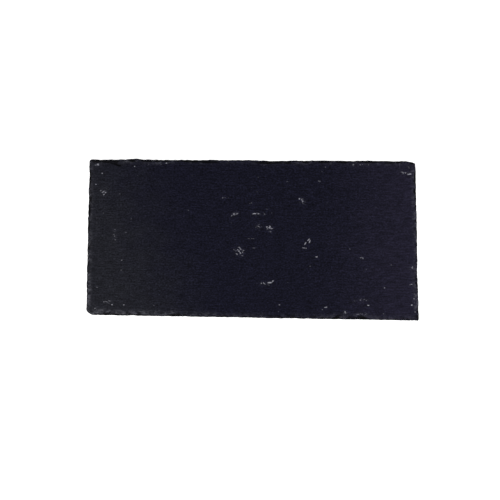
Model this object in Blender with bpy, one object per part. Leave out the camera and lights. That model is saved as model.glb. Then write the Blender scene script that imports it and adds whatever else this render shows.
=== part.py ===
"""Slab of black slate, split along its cleavage and dressed to a rectangle with chipped edges.

Metres, +Z up. The origin is the middle of the underside. +X runs along the length, to the right
of someone who faces the near side, and +Y runs from the near side to the far side.
"""

import math
import random
from collections import namedtuple

import bmesh
import bpy
from mathutils import Vector, noise

NODE = "slate_slab"

# The outline on the underside, where the slab is widest. It is a little out of square.
LENGTH = 0.300
LEFT_DEPTH = 0.1434
RIGHT_DEPTH = 0.1470
SKEW = 0.0014  # the far side sits this much to the left of the near side

# The stone's thickness, which grows a little from left to right.
THICKNESS = 0.0055
THICKNESS_GAIN = 0.0003

# Dressed edge: the stone was chipped from above, so the edge leans in towards the top face.
BEVEL = 0.0009  # least lean of the edge at the top
ARRIS_LOSS = 0.0003  # worn from the underside's corner
ARRIS_SHARE = 0.15  # share of the thickness over which that corner is worn
RING_SHARES = (0.0, 0.15, 0.40, 0.62, 0.82, 1.0)  # the edge's rings, as shares of the thickness
EDGE_STEP = 0.0019  # spacing of points along the outline

DRESSING_PITCHES = (0.024, 0.0085)  # distances between the small waves left by dressing

# Top face: slow swells, and a fine grain drawn out along the length.
SWELL_PITCH, SWELL_HEIGHT, SWELL_SEED = 0.075, 0.00022, 3.7
GRAIN_LENGTH, GRAIN_WIDTH, GRAIN_HEIGHT, GRAIN_SEED = 0.034, 0.0075, 0.00007, 8.3
TOP_CELL = 0.0056
UNDERSIDE_CELL = 0.0085
LEDGE_RUN = 0.0004  # the width, seen from above, of the step at a scar's rim
SCAR_WANDER = 0.0016  # how far a scar's rim strays from an ellipse
WANDER_LENGTH, WANDER_WIDTH = 0.011, 0.005  # over what distances along X and Y it strays
GRID_SNAP = 0.0005  # a cut this near to a corner of a face runs through the corner
RIM_SNAP = 0.00012  # the same for the finer cuts along a scar's rim

Corner = namedtuple("Corner", "point before after")
Station = namedtuple("Station", "point side along")
Swell = namedtuple("Swell", "along half_width height")
Chip = namedtuple("Chip", "along half_width depth foot")
Scar = namedtuple("Scar", "x y half_length half_width turn depth")

NEAR, RIGHT, FAR, LEFT = range(4)

# Corners in order round the outline, anticlockwise from above, and how much of the side before
# and of the side after each has lost.
CORNERS = (
    Corner(Vector((-LENGTH / 2 + SKEW / 2, -LEFT_DEPTH / 2)), 0.0048, 0.0057),
    Corner(Vector((LENGTH / 2 + SKEW / 2, -RIGHT_DEPTH / 2)), 0.0009, 0.0009),
    Corner(Vector((LENGTH / 2 - SKEW / 2, RIGHT_DEPTH / 2)), 0.0028, 0.0100),
    Corner(Vector((-LENGTH / 2 - SKEW / 2, LEFT_DEPTH / 2)), 0.0018, 0.0014),
)
CORNER_POINTS = 6
CORNER_CURVE = 1.4  # 1 is a straight cut across the corner, and 2 is a round one
CORNER_REACH = 0.030  # how far from a corner the lean of the next side still moves a side's points

# How far the small waves stand out of each side.
DRESSING = {NEAR: 0.00014, RIGHT: 0.00030, FAR: 0.00026, LEFT: 0.00026}

# Places where a side bulges (or dips, if the height is negative), as distances from the middle.
SWELLS = {
    NEAR: (),
    RIGHT: (Swell(-0.030, 0.012, -0.00025),),
    FAR: (Swell(-0.109, 0.011, 0.00060), Swell(0.023, 0.030, -0.00040)),
    LEFT: (Swell(0.056, 0.009, -0.00045), Swell(0.0425, 0.006, 0.00035), Swell(0.0148, 0.005, 0.00030)),
}

# Large chips, each at its place along the side, as a distance from the middle of the slab.
# depth is how far in it reaches at the top, and foot is the share of the thickness it starts at.
LARGE_CHIPS = {
    NEAR: (
        Chip(-0.134, 0.011, 0.0018, 0.10),
        Chip(-0.101, 0.0075, 0.0014, 0.35),
        Chip(-0.070, 0.0085, 0.0020, 0.20),
        Chip(-0.038, 0.0060, 0.0015, 0.30),
        Chip(0.0765, 0.0065, 0.0024, 0.05),
        Chip(0.0995, 0.0085, 0.0026, 0.05),
    ),
    RIGHT: (
        Chip(-0.062, 0.0060, 0.0019, 0.15),
        Chip(-0.043, 0.0055, 0.0016, 0.20),
        Chip(0.006, 0.0080, 0.0021, 0.10),
        Chip(0.058, 0.0085, 0.0020, 0.20),
    ),
    FAR: (
        Chip(-0.139, 0.0095, 0.0021, 0.05),
        Chip(-0.088, 0.0100, 0.0019, 0.15),
        Chip(-0.052, 0.0110, 0.0022, 0.10),
        Chip(0.014, 0.0085, 0.0024, 0.05),
        Chip(0.046, 0.0120, 0.0018, 0.20),
        Chip(0.088, 0.0130, 0.0019, 0.10),
        Chip(0.128, 0.0105, 0.0020, 0.15),
    ),
    LEFT: (
        Chip(-0.048, 0.0070, 0.0021, 0.10),
        Chip(-0.010, 0.0055, 0.0016, 0.25),
        Chip(0.036, 0.0090, 0.0018, 0.10),
    ),
}

# Small chips fill each side from end to end.
SMALL_CHIP_HALF_WIDTHS = (0.0022, 0.0052)
SMALL_CHIP_DEPTHS = (0.0004, 0.0015)
SMALL_CHIP_FEET = (0.15, 0.70)
SMALL_CHIP_OVERLAP = 0.8  # spacing, as a share of the two half widths that meet
SMALL_CHIP_SEEDS = {NEAR: 11, RIGHT: 23, FAR: 37, LEFT: 41}
SCOOP = 1.3  # how hollow a chip is from its foot to the top face

# Shallow scars where a thin flake has split off the top face. The first two run along the far side.
TOP_SCARS = (
    Scar(-0.136, 0.0745, 0.0190, 0.0072, math.radians(-8), 0.00045),
    Scar(0.031, 0.0742, 0.0150, 0.0044, math.radians(0), 0.00040),
    Scar(-0.146, 0.0100, 0.0048, 0.0150, math.radians(4), 0.00035),
    Scar(-0.090, -0.0735, 0.0230, 0.0050, math.radians(2), 0.00035),
    Scar(0.086, -0.0755, 0.0300, 0.0068, math.radians(-2), 0.00040),
    Scar(0.149, -0.0350, 0.0052, 0.0170, math.radians(3), 0.00035),
    Scar(0.146, 0.0700, 0.0125, 0.0090, math.radians(20), 0.00045),
    Scar(-0.149, -0.0700, 0.0105, 0.0095, math.radians(-30), 0.00045),
)

# The same on the underside, which stays flat between them to rest on.
UNDERSIDE_SCARS = (
    Scar(-0.118, 0.0660, 0.0330, 0.0130, math.radians(6), 0.00050),
    Scar(0.105, 0.0580, 0.0300, 0.0100, math.radians(-9), 0.00040),
    Scar(0.135, -0.0560, 0.0240, 0.0180, math.radians(20), 0.00055),
    Scar(-0.085, -0.0570, 0.0400, 0.0110, math.radians(4), 0.00045),
)

# Blue-black slate, matt.
COLOUR = (0.0105, 0.0105, 0.0175, 1.0)
ROUGHNESS = 0.62
SHARP_EDGE = math.radians(17)


def clear_scene():
    for obj in list(bpy.data.objects):
        bpy.data.objects.remove(obj)


def wander(x, y, seed):
    """A smooth value from about -1 to 1, which changes over a distance of 1."""
    return noise.noise(Vector((x, y, seed)))


def unique(items):
    """The items without repeats, in the order they come in."""
    return list(dict.fromkeys(items))


def side_way(side):
    """The direction of a side, anticlockwise from above."""
    return (CORNERS[(side + 1) % 4].point - CORNERS[side].point).normalized()


def side_out(side):
    """The direction straight out of a side."""
    way = side_way(side)
    return Vector((way.y, -way.x))


def side_ends(side):
    """Where a side's straight stretch starts and ends, clear of its worn corners."""
    first, last = CORNERS[side], CORNERS[(side + 1) % 4]
    return first.point + side_way(side) * first.after, last.point - side_way(side) * last.before


def corner_point(number, share):
    """A point on a worn corner, at a share of the way round it."""
    corner = CORNERS[number]
    leave = side_ends((number - 1) % 4)[1] - corner.point
    join = side_ends(number)[0] - corner.point
    return corner.point + leave * (1 - share) ** CORNER_CURVE + join * share**CORNER_CURVE


def along(point, side):
    """A point's distance along its side, measured from the middle of the slab."""
    return point.x if side in (NEAR, FAR) else point.y


def outline():
    """Stations round the slab's outline, anticlockwise from above, on straight sides."""
    stations = []
    for side in (NEAR, RIGHT, FAR, LEFT):
        for i in range(CORNER_POINTS):
            point = corner_point(side, i / CORNER_POINTS)
            owner = (side - 1) % 4 if 2 * i < CORNER_POINTS else side
            stations.append(Station(point, owner, along(point, owner)))
        start, end = side_ends(side)
        count = round((end - start).length / EDGE_STEP)
        for i in range(count):
            point = start.lerp(end, i / count)
            stations.append(Station(point, side, along(point, side)))
    return stations


def stand_out(side, place):
    """How far the dressed outline stands out of its straight side."""
    out = sum(DRESSING[side] * wander(place / pitch, side, pitch) for pitch in DRESSING_PITCHES)
    for swell in SWELLS[side]:
        across = (place - swell.along) / swell.half_width
        out += swell.height * max(0.0, 1 - across**2) ** 2
    return out


def small_chips(side):
    """Small chips from end to end of a side."""
    pick = random.Random(SMALL_CHIP_SEEDS[side])
    ends = sorted(along(end, side) for end in side_ends(side))
    chips = []
    place = ends[0]
    while place < ends[1]:
        half_width = pick.uniform(*SMALL_CHIP_HALF_WIDTHS)
        depth = pick.uniform(*SMALL_CHIP_DEPTHS)
        foot = pick.uniform(*SMALL_CHIP_FEET)
        chips.append(Chip(place, half_width, depth, foot))
        place += 2 * half_width * SMALL_CHIP_OVERLAP
    return tuple(chips)


def chip_reach(chip, place, share):
    """How far in a chip reaches at a place along the side and a share of the thickness.

    Seen from the side its rim is an arch upside down, lowest at its middle.
    """
    across = (place - chip.along) / chip.half_width
    up = (share - chip.foot) / (1 - chip.foot)
    if up <= 0:
        return 0.0
    return chip.depth * max(0.0, up**SCOOP - across**2)


def edge_shift(side, place, share, chips):
    """How far the edge's face stands out of its straight side at a share of the thickness."""
    worn = ARRIS_LOSS * max(0.0, 1 - share / ARRIS_SHARE)
    chipped = max(chip_reach(chip, place, share) for chip in chips[side])
    return stand_out(side, place) - worn - BEVEL * share**2 - chipped


def edge_point(station, share, chips):
    """A station's place on the edge's face. Near a corner both of its sides move it."""
    side = station.side
    point = station.point + side_out(side) * edge_shift(side, station.along, share, chips)
    for other, number in (((side - 1) % 4, side), ((side + 1) % 4, (side + 1) % 4)):
        tip = corner_point(number, 0.5)
        near = max(0.0, 1 - abs(station.along - along(tip, side)) / CORNER_REACH)
        point += side_out(other) * edge_shift(other, along(tip, other), share, chips) * near**2
    return point


def scar_distance(scar, x, y):
    """Distance outside a scar's rim, or minus the distance inside it, near enough."""
    dx, dy = x - scar.x, y - scar.y
    lengthwise = dx * math.cos(scar.turn) + dy * math.sin(scar.turn)
    crosswise = dy * math.cos(scar.turn) - dx * math.sin(scar.turn)
    radius = math.hypot(lengthwise / scar.half_length, crosswise / scar.half_width)
    slope = math.hypot(lengthwise / scar.half_length**2, crosswise / scar.half_width**2)
    if radius == 0:
        return -scar.half_width
    stray = SCAR_WANDER * wander(x / WANDER_LENGTH, y / WANDER_WIDTH, scar.x / WANDER_LENGTH)
    return (radius - 1) * radius / slope + stray


def scars_depth(scars, x, y):
    """How deep the deepest scar lies at a place."""
    deepest = 0.0
    for scar in scars:
        inside = 0.5 - scar_distance(scar, x, y) / LEDGE_RUN
        deepest = max(deepest, scar.depth * min(1.0, max(0.0, inside)))
    return deepest


def top_height(x, y):
    """Height of the split top face above the underside's plane."""
    swell = SWELL_HEIGHT * wander(x / SWELL_PITCH, y / SWELL_PITCH, SWELL_SEED)
    grain = GRAIN_HEIGHT * wander(x / GRAIN_LENGTH, y / GRAIN_WIDTH, GRAIN_SEED)
    wedge = THICKNESS_GAIN * x / LENGTH
    return THICKNESS + wedge + swell + grain - scars_depth(TOP_SCARS, x, y)


def underside_height(x, y):
    return scars_depth(UNDERSIDE_SCARS, x, y)


def edge_rings(bm, stations):
    """The slab's edge as rings of vertices from the underside up, joined by faces."""
    chips = {side: LARGE_CHIPS[side] + small_chips(side) for side in LARGE_CHIPS}
    rings = []
    for share in RING_SHARES:
        ring = []
        for station in stations:
            x, y = edge_point(station, share, chips)
            ring.append(bm.verts.new((x, y, share * top_height(x, y))))
        rings.append(ring)
    for lower, upper in zip(rings, rings[1:]):
        for i, vert in enumerate(lower):
            j = (i + 1) % len(lower)
            bm.faces.new((vert, lower[j], upper[j], upper[i]))
    return rings


def cut_straight(bm, faces, normal, offset):
    """Cuts faces along one upright plane and returns all of them."""
    verts = unique(vert for face in faces for vert in face.verts)
    edges = unique(edge for face in faces for edge in face.edges)
    done = bmesh.ops.bisect_plane(
        bm,
        geom=[*verts, *edges, *faces],
        dist=GRID_SNAP,
        plane_co=normal * offset,
        plane_no=normal,
    )
    return [item for item in done["geom"] if isinstance(item, bmesh.types.BMFace)]


def cut_grid(bm, face, cell):
    """Cuts a flat face into a grid of square cells."""
    faces = [face]
    for normal, reach in ((Vector((1, 0, 0)), LENGTH), (Vector((0, 1, 0)), RIGHT_DEPTH)):
        lines = int(reach / 2 / cell)
        for i in range(-lines, lines + 1):
            faces = cut_straight(bm, faces, normal, i * cell)


def cut_rim(bm, faces, scar, level):
    """Cuts faces along the line that lies a given distance outside a scar's rim."""
    verts = unique(vert for face in faces for vert in face.verts)
    place = {vert: scar_distance(scar, vert.co.x, vert.co.y) - level for vert in verts}
    marked = []
    for edge in unique(edge for face in faces for edge in face.edges):
        start, end = edge.verts
        a, b = place[start], place[end]
        if a * b >= 0:
            continue
        share = a / (a - b)
        length = edge.calc_length()
        if share * length < RIM_SNAP:
            marked.append(start)
        elif (1 - share) * length < RIM_SNAP:
            marked.append(end)
        else:
            marked.append(bmesh.utils.edge_split(edge, start, share)[1])
    bmesh.ops.connect_verts(bm, verts=unique(marked))


def flat_faces(bm, height):
    """The faces that lie wholly at one height."""
    return [face for face in bm.faces if all(abs(vert.co.z - height) < 1e-7 for vert in face.verts)]


def split_face(bm, ring, height, cell, scars):
    """Closes a ring with a flat face, and cuts that into cells and along the scars' rims."""
    for vert in ring:
        vert.co.z = height
    cut_grid(bm, bm.faces.new(ring), cell)
    for scar in scars:
        for level in (-LEDGE_RUN / 2, LEDGE_RUN / 2):
            cut_rim(bm, flat_faces(bm, height), scar, level)
    faces = flat_faces(bm, height)
    verts = unique(vert for face in faces for vert in face.verts)
    bmesh.ops.triangulate(bm, faces=faces)
    return verts


def slab_mesh():
    """The whole stone as one closed mesh."""
    bm = bmesh.new()
    rings = edge_rings(bm, outline())
    top = split_face(bm, rings[-1], 2 * THICKNESS, TOP_CELL, TOP_SCARS)
    underside = split_face(bm, list(reversed(rings[0])), 0.0, UNDERSIDE_CELL, UNDERSIDE_SCARS)
    for vert in top:
        vert.co.z = top_height(vert.co.x, vert.co.y)
    for vert in underside:
        vert.co.z = underside_height(vert.co.x, vert.co.y)
    bmesh.ops.triangulate(bm, faces=bm.faces[:])
    centre_on_origin(bm)
    mesh = bpy.data.meshes.new(NODE)
    bm.to_mesh(mesh)
    bm.free()
    mesh.shade_smooth()
    mesh.set_sharp_from_angle(angle=SHARP_EDGE)
    return mesh


def centre_on_origin(bm):
    """Moves the stone sideways until its outline's middle is on the origin."""
    for axis in (0, 1):
        places = [vert.co[axis] for vert in bm.verts]
        middle = (min(places) + max(places)) / 2
        for vert in bm.verts:
            vert.co[axis] -= middle


def slate():
    """Blue-black slate."""
    material = bpy.data.materials.new("slate")
    material.use_nodes = True
    shader = material.node_tree.nodes["Principled BSDF"]
    shader.inputs["Base Color"].default_value = COLOUR
    shader.inputs["Roughness"].default_value = ROUGHNESS
    shader.inputs["Metallic"].default_value = 0.0
    return material


def main():
    clear_scene()
    mesh = slab_mesh()
    mesh.materials.append(slate())
    slab = bpy.data.objects.new(NODE, mesh)
    bpy.context.scene.collection.objects.link(slab)


main()
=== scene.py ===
"""A slab of black slate, split along its cleavage and chipped to a rectangle, on a pale studio floor.

The fine stone is modelled over the CAD slab, in its frame: metres, +Z up, origin under the middle.
"""

import math
import random
from collections import namedtuple
from functools import cache

import bmesh
import bpy
from bpy.props import FloatProperty, FloatVectorProperty, PointerProperty
from mathutils import Euler, Matrix, Vector, noise


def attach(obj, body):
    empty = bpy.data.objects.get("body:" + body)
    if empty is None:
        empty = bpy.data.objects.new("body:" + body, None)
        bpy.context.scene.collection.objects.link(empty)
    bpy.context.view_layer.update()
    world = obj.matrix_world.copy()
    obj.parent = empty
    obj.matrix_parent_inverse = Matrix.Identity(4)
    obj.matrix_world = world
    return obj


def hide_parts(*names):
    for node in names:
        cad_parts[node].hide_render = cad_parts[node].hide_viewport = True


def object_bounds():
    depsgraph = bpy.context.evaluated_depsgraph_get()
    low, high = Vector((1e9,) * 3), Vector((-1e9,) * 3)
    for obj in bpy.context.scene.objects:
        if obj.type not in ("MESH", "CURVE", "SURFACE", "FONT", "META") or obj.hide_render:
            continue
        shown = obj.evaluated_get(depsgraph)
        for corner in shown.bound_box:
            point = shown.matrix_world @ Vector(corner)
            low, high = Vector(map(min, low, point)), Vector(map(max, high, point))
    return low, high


bl_info = {
    "name": "Slate slab",
    "version": (1, 0, 0),
    "blender": (4, 5, 0),
    "location": "3D View > Sidebar > Slate",
    "description": "Builds a slate slab with a riven face and chipped edges, and its studio",
    "category": "Add Mesh",
}

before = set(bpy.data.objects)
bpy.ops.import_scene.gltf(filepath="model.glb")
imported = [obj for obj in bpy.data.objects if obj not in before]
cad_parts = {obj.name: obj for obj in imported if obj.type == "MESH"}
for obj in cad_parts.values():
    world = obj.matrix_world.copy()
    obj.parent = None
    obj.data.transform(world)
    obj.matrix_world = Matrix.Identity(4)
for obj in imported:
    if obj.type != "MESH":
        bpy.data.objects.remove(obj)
cad_low, cad_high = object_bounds()

NODE = "slate_slab"
BODY = "root"

# The outline on the underside, where the slab is widest. It is a little out of square.
LENGTH = 0.300
LEFT_DEPTH = 0.1434
RIGHT_DEPTH = 0.1470
SKEW = 0.0014  # the far side sits this much to the left of the near side

# The stone's thickness, which grows a little from left to right.
THICKNESS = 0.0055
THICKNESS_GAIN = 0.0003

# Dressed edge: the stone was chipped from above, so the edge leans in towards the top face.
BEVEL = 0.0009  # least lean of the edge at the top
ARRIS_LOSS = 0.0003  # worn from the underside's corner
ARRIS_SHARE = 0.15  # share of the thickness over which that corner is worn
DRESSING_PITCHES = (0.024, 0.0085)  # distances between the small waves left by dressing

# Top face: slow swells, and a grain drawn out along the length.
SWELL_PITCH, SWELL_HEIGHT, SWELL_SEED = 0.075, 0.00022, 3.7
GRAIN_LENGTH, GRAIN_WIDTH, GRAIN_HEIGHT, GRAIN_SEED = 0.034, 0.0075, 0.00007, 8.3
LEDGE_RUN = 0.0008  # the width, seen from above, of the step at a scar's rim
SCAR_WANDER = 0.0016  # how far a scar's rim strays from an ellipse
WANDER_LENGTH, WANDER_WIDTH = 0.011, 0.005  # over what distances along X and Y it strays
GRID_SNAP = 0.00015  # a cut this near to a corner of a face runs through the corner
RIM_SNAP = 0.00012  # the same for the cuts along a scar's rim
RIM_MARGIN = 0.003  # how far beyond a scar its rim is looked for

Corner = namedtuple("Corner", "point before after")
Station = namedtuple("Station", "point side along bends")
Swell = namedtuple("Swell", "along half_width height")
Chip = namedtuple("Chip", "along half_width depth foot")
Scar = namedtuple("Scar", "x y half_length half_width turn depth")
Mark = namedtuple("Mark", "x y half_length half_width turn strength")
Lumps = namedtuple("Lumps", "size seed detail roughness")

NEAR, RIGHT, FAR, LEFT = range(4)

# Corners in order round the outline, anticlockwise from above, and how much of the side before
# and of the side after each has lost.
CORNERS = (
    Corner(Vector((-LENGTH / 2 + SKEW / 2, -LEFT_DEPTH / 2)), 0.0048, 0.0057),
    Corner(Vector((LENGTH / 2 + SKEW / 2, -RIGHT_DEPTH / 2)), 0.0009, 0.0009),
    Corner(Vector((LENGTH / 2 - SKEW / 2, RIGHT_DEPTH / 2)), 0.0028, 0.0100),
    Corner(Vector((-LENGTH / 2 - SKEW / 2, LEFT_DEPTH / 2)), 0.0018, 0.0014),
)
CORNER_CURVE = 1.4  # 1 is a straight cut across the corner, and 2 is a round one
CORNER_REACH = 0.030  # how far from a corner the lean of the next side still moves a side's points
LEAST_CORNER_POINTS = 4

# How far the small waves stand out of each side.
DRESSING = {NEAR: 0.00014, RIGHT: 0.00030, FAR: 0.00026, LEFT: 0.00026}

# Places where a side bulges (or dips, if the height is negative), as distances from the middle.
SWELLS = {
    NEAR: (),
    RIGHT: (Swell(-0.030, 0.012, -0.00025),),
    FAR: (Swell(-0.109, 0.011, 0.00060), Swell(0.023, 0.030, -0.00040)),
    LEFT: (Swell(0.056, 0.009, -0.00045), Swell(0.0425, 0.006, 0.00035), Swell(0.0148, 0.005, 0.00030)),
}

# Large chips, each at its place along the side, as a distance from the middle of the slab.
# depth is how far in it reaches at the top, and foot is the share of the thickness it starts at.
LARGE_CHIPS = {
    NEAR: (
        Chip(-0.134, 0.011, 0.0018, 0.10),
        Chip(-0.101, 0.0075, 0.0014, 0.35),
        Chip(-0.070, 0.0085, 0.0020, 0.20),
        Chip(-0.038, 0.0060, 0.0015, 0.30),
        Chip(0.0765, 0.0065, 0.0024, 0.05),
        Chip(0.0995, 0.0085, 0.0026, 0.05),
    ),
    RIGHT: (
        Chip(-0.062, 0.0060, 0.0019, 0.15),
        Chip(-0.043, 0.0055, 0.0016, 0.20),
        Chip(0.006, 0.0080, 0.0021, 0.10),
        Chip(0.058, 0.0085, 0.0020, 0.20),
    ),
    FAR: (
        Chip(-0.139, 0.0095, 0.0021, 0.05),
        Chip(-0.088, 0.0100, 0.0019, 0.15),
        Chip(-0.052, 0.0110, 0.0022, 0.10),
        Chip(0.014, 0.0085, 0.0024, 0.05),
        Chip(0.046, 0.0120, 0.0018, 0.20),
        Chip(0.088, 0.0130, 0.0019, 0.10),
        Chip(0.128, 0.0105, 0.0020, 0.15),
    ),
    LEFT: (
        Chip(-0.048, 0.0070, 0.0021, 0.10),
        Chip(-0.010, 0.0055, 0.0016, 0.25),
        Chip(0.036, 0.0090, 0.0018, 0.10),
    ),
}

# Small chips fill each side from end to end.
SMALL_CHIP_HALF_WIDTHS = (0.0022, 0.0052)
SMALL_CHIP_DEPTHS = (0.0004, 0.0015)
SMALL_CHIP_FEET = (0.15, 0.70)
SMALL_CHIP_OVERLAP = 0.8  # spacing, as a share of the two half widths that meet
SMALL_CHIP_SEEDS = {NEAR: 11, RIGHT: 23, FAR: 37, LEFT: 41}
SCOOP = 1.3  # how hollow a chip is from its foot to the top face

# Shallow scars where a thin flake has split off the top face. The first two run along the far side.
TOP_SCARS = (
    Scar(-0.130, 0.0740, 0.0150, 0.0060, math.radians(-20), 0.00045),
    Scar(0.031, 0.0742, 0.0150, 0.0044, math.radians(0), 0.00040),
    Scar(-0.146, 0.0100, 0.0048, 0.0150, math.radians(4), 0.00035),
    Scar(-0.090, -0.0735, 0.0230, 0.0050, math.radians(2), 0.00035),
    Scar(0.086, -0.0755, 0.0300, 0.0068, math.radians(-2), 0.00040),
    Scar(0.149, -0.0350, 0.0052, 0.0170, math.radians(3), 0.00035),
    Scar(0.146, 0.0700, 0.0125, 0.0090, math.radians(20), 0.00045),
    Scar(-0.149, -0.0700, 0.0105, 0.0095, math.radians(-30), 0.00045),
)

# The same on the underside, which stays flat between them to rest on.
UNDERSIDE_SCARS = (
    Scar(-0.118, 0.0660, 0.0330, 0.0130, math.radians(6), 0.00050),
    Scar(0.105, 0.0580, 0.0300, 0.0100, math.radians(-9), 0.00040),
    Scar(0.135, -0.0560, 0.0240, 0.0180, math.radians(20), 0.00055),
    Scar(-0.085, -0.0570, 0.0400, 0.0110, math.radians(4), 0.00045),
)

# Thin sheets that show as ledges round the edge.
SHEETS = 9
SHEET_WAVE, SHEET_WAVE_LENGTH = 0.30, 0.025  # how far their joints stray, as a share of a sheet
SHEET_GAP = 0.010  # height of the ledge between two sheets, as a share of the stone's thickness
STEPPING = 0.6  # how upright each sheet's face is: 0 keeps the chip's slope, and 1 is upright
RAGGED_PITCHES = ((0.0061, 0.00010), (0.0014, 0.00010))  # how raggedly each sheet's face is broken
RAGGED_BACK = 0.2  # share of each by which the sheets are broken back on average
TORN_PITCH, TORN_DEPTH, TORN_FROM, TORN_RAMP = 0.0085, 0.00032, 0.22, 0.10
JAGGED_PITCH, JAGGED_DEPTH, JAGGED_SEED = 0.0030, 0.00030, 31.6  # small bites through all the sheets

# Rings of the top face's border, as distances in from the arris, and the mean line they settle to.
BORDER = (0.00025, 0.0006, 0.0010, 0.0015, 0.0022, 0.0030, 0.0042, 0.0060, 0.0085)
UNDERSIDE_BORDER = (0.0005, 0.0015, 0.0040, 0.0085)
MEAN_LEAN = 0.0016
ARRIS_WEAR, ARRIS_WEAR_RUN = 0.00007, 0.0007  # how far the top's arris is rubbed down, and over what

# Fine relief on the top face: steps between sheets, and short ridges along the grain.
STEP_LENGTH, STEP_WIDTH, STEP_SEED = 0.052, 0.019, 21.4
STEP_COUNT, STEP_HEIGHT, STEP_RISER = 3.2, 0.00005, 0.12
RIDGE_LENGTH, RIDGE_WIDTH, RIDGE_SEED = 0.0085, 0.0017, 5.9
UNDERSIDE_HOLLOW, UNDERSIDE_PITCH, UNDERSIDE_SEED = 0.00008, 0.018, 14.2

# How pale the rubbed band inside each side is, from 0 to 1, at places along the side: chalky wear, with
# painted highlight where the near and left bevels catch the light.
CHALK_AND_HIGHLIGHT_SIDES = {
    NEAR: ((-0.150, 1.0), (-0.100, 0.85), (-0.072, 0.70), (-0.050, 0.35), (0.050, 0.15),
           (0.080, 0.45), (0.110, 0.30), (0.150, 0.25)),
    RIGHT: ((-0.073, 0.45), (-0.045, 0.70), (-0.010, 0.40), (0.030, 0.60), (0.073, 0.55)),
    FAR: ((-0.150, 0.45), (-0.110, 0.55), (-0.060, 0.35), (0.000, 0.25), (0.060, 0.35), (0.150, 0.45)),
    LEFT: ((-0.072, 1.0), (-0.035, 0.95), (0.000, 0.60), (0.040, 0.65), (0.072, 0.55)),
}

# Marks on the top face, in millimetres and degrees. A strength of 1 is crushed white.
# Scuffed patches: place along X and Y, half length, half width, turn, number of flecks, strength.
SCUFFED_PATCHES = (
    (15.5, 9, 2.9, 1.9, 0, 7, 1.0), (16.5, 5.5, 2, 0.5, -10, 2, 0.65), (-17, 21, 3.4, 1, 20, 6, 0.85),
    (5, 22, 7, 0.4, 0, 7, 0.8), (5.5, 10.5, 3, 2.4, 0, 5, 0.6), (-12, -12.5, 5, 4, -30, 10, 0.95),
    (-9, -16.5, 0.8, 1.2, 0, 2, 0.65), (51.5, -1, 2, 1, 50, 2, 0.85), (47, -9, 3, 0.4, 0, 3, 0.75),
    (58.5, -17, 1.2, 0.3, 0, 2, 0.95), (11, -41.7, 5.5, 0.7, 5, 4, 0.9), (19, -39.5, 1.2, 0.6, 35, 2, 1.0),
    (15, -43, 2, 1, 0, 2, 0.42), (67, -62.5, 1.6, 0.7, 15, 3, 0.95),
    (-142.5, 66, 2.2, 0.8, 0, 5, 0.95), (-136, 41, 4.5, 3.2, 45, 7, 0.78), (-130, -60, 4, 2, -20, 5, 0.6),
    (-125, 0, 1.4, 7, 0, 4, 0.7), (139.5, 61.5, 6.2, 1.1, 0, 8, 0.9), (142.5, 67.5, 2, 1.5, 0, 3, 0.55),
    (98, 68.5, 13, 0.4, 0, 4, 0.6), (100, -17.5, 2.2, 1.2, 0, 3, 0.75), (103, -28, 3.5, 2, 30, 2, 0.5),
    (144.5, -26, 2.4, 1, 0, 4, 0.7), (144, -41, 1.5, 0.6, 20, 2, 0.8), (98, -56, 9, 0.8, 3, 5, 0.65),
    (146, -54, 1, 5, 0, 4, 0.58), (84, -67, 3, 0.7, 0, 4, 0.82), (99, -68.5, 7, 0.7, 0, 5, 0.62),
    (-25.5, 36.5, 4, 0.4, 5, 3, 0.62), (-1, 32, 2.5, 1, 25, 2, 0.5), (45.5, 34, 3.4, 1.8, -45, 4, 0.8),
    (61, 52.5, 1, 2, 20, 2, 0.6), (10, 67.2, 4, 0.3, 0, 2, 0.5),
)

# Lone flecks: place along X and Y, and strength.
LONE_FLECKS = (
    (17.5, 23, 0.42), (52.5, -25, 0.52), (47.5, -28.5, 0.42), (32, -40.5, 0.4), (25, -61, 0.62),
    (24, -67, 0.4), (63.5, -65, 0.65), (-138, 58, 0.9), (-143.5, 47.5, 0.85), (-121.5, 39, 0.55),
    (-105.5, 56, 0.42), (-108.5, 64.7, 1.0), (-79.5, 68, 0.75), (-96, 67, 0.5), (-84, 66.5, 0.42),
    (-125.5, -62.5, 1.0), (-115, -62.5, 0.85), (-141, -66, 0.7), (-88, -63, 0.42), (-83.5, -67.5, 0.42),
    (-115, 3.5, 0.6), (-118, -22, 0.62), (-118, -31, 0.42), (-136, 21, 0.42), (-110.5, 16, 0.42),
    (-139.5, -47, 0.6), (112, 29, 0.4), (118, 38.5, 0.42), (88.5, -9.5, 0.58), (126, -23.5, 0.45),
    (119.5, -44.5, 0.62), (105, -60.5, 1.0), (144, -59.7, 1.0), (147, -66, 0.6), (118.5, -68, 0.42),
    (-55.5, 56.5, 0.5), (-1, 46.5, 0.4), (3.5, 42.5, 0.46), (5, 56, 0.46), (31, 52, 0.5),
    (42.5, 36.2, 1.0), (62.5, 62, 0.45), (66, 66, 0.5), (68, 33, 0.52), (-58.5, 24.5, 0.5),
    (13, 26.5, 0.4), (-38, 67.5, 0.42), (-19.5, 13.5, 0.4),
)

# Scratches: place along X and Y, half length, half width, turn and strength.
SCRATCHES = (
    (-2, -1, 4.2, 0.45, 0, 0.55), (1.5, -9.5, 3, 0.4, 0, 0.48), (1.5, 22, 1.4, 0.5, 0, 1.0),
    (48, -5, 0.6, 1.8, -32, 0.95), (52, -3, 0.6, 1.9, -18, 0.95), (16, -41, 2.2, 0.7, 3, 0.95),
    (143, 60.2, 2.2, 0.5, 10, 0.9),
)

# Painted shadow: a near-black line along the rim of the flake scar beside the far left corner, in the same
# form.
SCAR_RIM_SHADOW = (
    (-143, 69, 5.2, 1.4, -2, 0.75), (-135, 68.7, 5.2, 1.1, -6, 0.85), (-129, 67.4, 4.2, 1, -22, 1.0),
    (-124, 65.7, 3.4, 1, -14, 1.0), (-129, 68.4, 6.3, 1.4, -8, 0.5), (-129, 69.6, 8.4, 0.9, 0, 0.85),
)
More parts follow.
